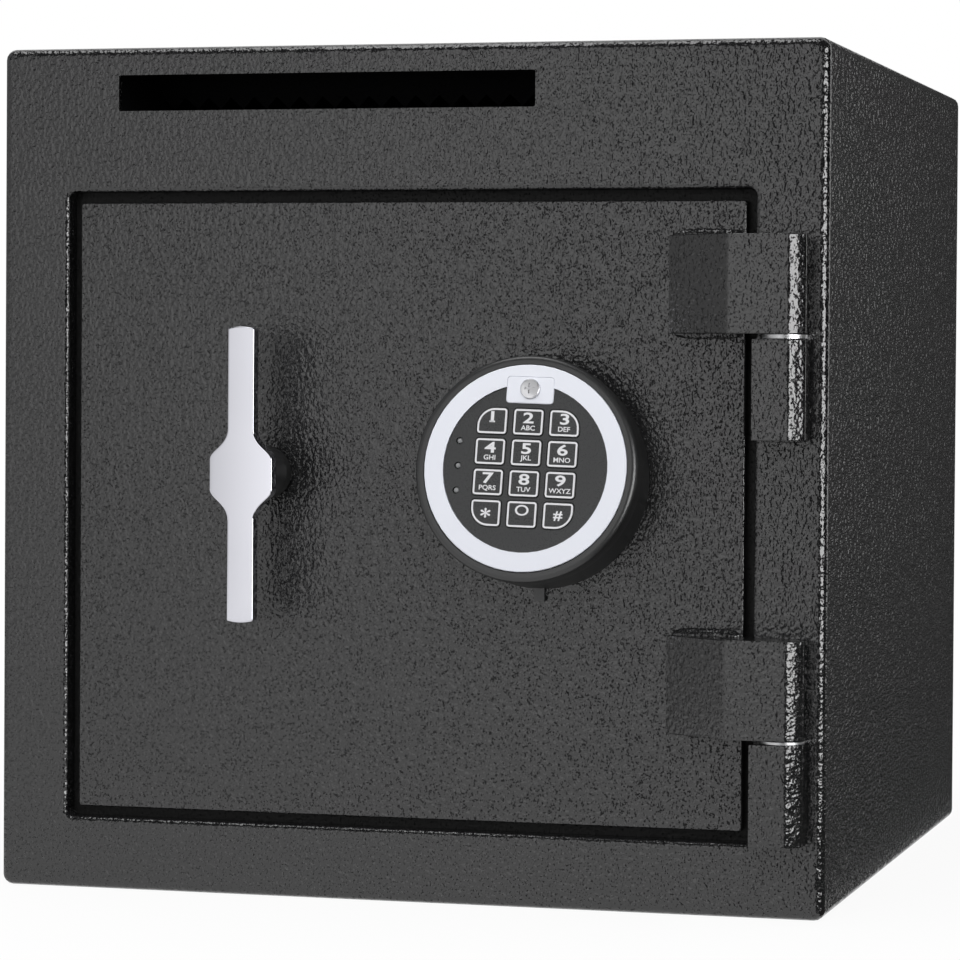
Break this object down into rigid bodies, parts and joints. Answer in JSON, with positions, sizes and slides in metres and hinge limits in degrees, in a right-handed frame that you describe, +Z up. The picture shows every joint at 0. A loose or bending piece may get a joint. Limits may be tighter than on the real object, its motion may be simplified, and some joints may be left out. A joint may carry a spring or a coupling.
{
  "type": "drop safe",
  "caption": "Black steel cube safe with a fixed deposit slot over a chute, a recessed door on external hinges, a chrome turning handle that throws the bolts, and a round leaning keypad.",
  "frame": {"origin": "middle of the body's footprint, on the surface that the safe stands on", "axes": "+X to the right of someone facing the door, +Y from the front face into the body, +Z up"},
  "size_m": [0.4, 0.4353, 0.4],
  "materials": {
    "black_paint": "black powder coat with a fine pebbled texture, half gloss",
    "chute_paint": "black paint, smooth",
    "bright_steel": "bright turned steel",
    "zinc_plate": "zinc plated sheet steel",
    "chrome": "polished chrome",
    "black_plastic": "moulded, fine grain",
    "silver_plastic": "silver paint on moulded plastic, satin",
    "glossy_face": "smooth black with white figures",
    "lamp_plastic": "grey lens, unlit",
    "cast_lock": "die cast, tumbled",
    "board_green": "green solder mask",
    "battery_skin": "printed metal skin, plain"
  },
  "bodies": {
    "body": {"body_shell": "black_paint", "back_plate": "black_paint", "door_stop_frame": "black_paint", "deposit_chute": "chute_paint", "anti_fish_baffle": "chute_paint", "upper_body_knuckle": "black_paint", "lower_body_knuckle": "black_paint", "upper_hinge_pin": "bright_steel", "lower_hinge_pin": "bright_steel", "upper_thrust_washer": "bright_steel", "lower_thrust_washer": "bright_steel"},
    "door": {"door_plate": "black_paint", "door_pan": "black_paint", "pan_screw_1": "zinc_plate", "pan_screw_2": "zinc_plate", "pan_screw_3": "zinc_plate", "pan_screw_4": "zinc_plate", "hinge_dead_bar": "zinc_plate", "lock_case": "cast_lock", "upper_hinge_leaf": "black_paint", "lower_hinge_leaf": "black_paint", "spindle_bush": "zinc_plate", "keypad_base": "black_plastic", "keypad_housing": "black_plastic", "keypad_ring": "silver_plastic", "keypad_screw_tab": "silver_plastic", "keypad_screw": "bright_steel", "keypad_face": "glossy_face", "keypad_board": "board_green", "keypad_battery": "battery_skin", "status_lamp_1": "lamp_plastic", "status_lamp_2": "lamp_plastic", "status_lamp_3": "lamp_plastic"},
    "handle": {"handle": "chrome", "handle_spindle": "bright_steel", "handle_cam": "zinc_plate"},
    "boltwork": {"bolt_carrier": "zinc_plate", "live_bolt_1": "bright_steel", "live_bolt_2": "bright_steel", "live_bolt_3": "bright_steel"},
    "latch": {"lock_latch": "bright_steel"},
    "key_1": {"key_1": "glossy_face"},
    "key_2": {"key_2": "glossy_face"},
    "key_3": {"key_3": "glossy_face"},
    "key_4": {"key_4": "glossy_face"},
    "key_5": {"key_5": "glossy_face"},
    "key_6": {"key_6": "glossy_face"},
    "key_7": {"key_7": "glossy_face"},
    "key_8": {"key_8": "glossy_face"},
    "key_9": {"key_9": "glossy_face"},
    "key_star": {"key_star": "glossy_face"},
    "key_0": {"key_0": "glossy_face"},
    "key_hash": {"key_hash": "glossy_face"}
  },
  "joints": [
    {"name": "door_hinge", "type": "hinge", "parent": "body", "child": "door", "pos_m": [0.1825, -0.2105, 0.1828], "axis": [0, 0, 1], "range_deg": [0, 180]},
    {"name": "handle_turn", "type": "hinge", "parent": "door", "child": "handle", "pos_m": [-0.0672, -0.19635, 0.1996], "axis": [0, -1, 0], "range_deg": [0, 90]},
    {"name": "bolt_slide", "type": "slide", "parent": "door", "child": "boltwork", "axis": [-1, 0, 0], "range_m": [0, 0.018]},
    {"name": "lock_latch_slide", "type": "slide", "parent": "door", "child": "latch", "axis": [0, 0, -1], "range_m": [0, 0.01]},
    {"name": "key_1_press", "type": "slide", "parent": "door", "child": "key_1", "axis": [0, 0.988, -0.1547], "range_m": [0, 0.0007], "stiffness_N_per_m": 800},
    {"name": "key_2_press", "type": "slide", "parent": "door", "child": "key_2", "axis": [0, 0.988, -0.1547], "range_m": [0, 0.0007], "stiffness_N_per_m": 800},
    {"name": "key_3_press", "type": "slide", "parent": "door", "child": "key_3", "axis": [0, 0.988, -0.1547], "range_m": [0, 0.0007], "stiffness_N_per_m": 800},
    {"name": "key_4_press", "type": "slide", "parent": "door", "child": "key_4", "axis": [0, 0.988, -0.1547], "range_m": [0, 0.0007], "stiffness_N_per_m": 800},
    {"name": "key_5_press", "type": "slide", "parent": "door", "child": "key_5", "axis": [0, 0.988, -0.1547], "range_m": [0, 0.0007], "stiffness_N_per_m": 800},
    {"name": "key_6_press", "type": "slide", "parent": "door", "child": "key_6", "axis": [0, 0.988, -0.1547], "range_m": [0, 0.0007], "stiffness_N_per_m": 800},
    {"name": "key_7_press", "type": "slide", "parent": "door", "child": "key_7", "axis": [0, 0.988, -0.1547], "range_m": [0, 0.0007], "stiffness_N_per_m": 800},
    {"name": "key_8_press", "type": "slide", "parent": "door", "child": "key_8", "axis": [0, 0.988, -0.1547], "range_m": [0, 0.0007], "stiffness_N_per_m": 800},
    {"name": "key_9_press", "type": "slide", "parent": "door", "child": "key_9", "axis": [0, 0.988, -0.1547], "range_m": [0, 0.0007], "stiffness_N_per_m": 800},
    {"name": "key_star_press", "type": "slide", "parent": "door", "child": "key_star", "axis": [0, 0.988, -0.1547], "range_m": [0, 0.0007], "stiffness_N_per_m": 800},
    {"name": "key_0_press", "type": "slide", "parent": "door", "child": "key_0", "axis": [0, 0.988, -0.1547], "range_m": [0, 0.0007], "stiffness_N_per_m": 800},
    {"name": "key_hash_press", "type": "slide", "parent": "door", "child": "key_hash", "axis": [0, 0.988, -0.1547], "range_m": [0, 0.0007], "stiffness_N_per_m": 800}
  ],
  "couplings": [
    {"joint": "bolt_slide", "follows": "handle_turn", "m_per_rad": 0.01145},
    {"joint": "lock_latch_slide", "follows": "handle_turn", "m_per_rad": 0.00636}
  ]
}
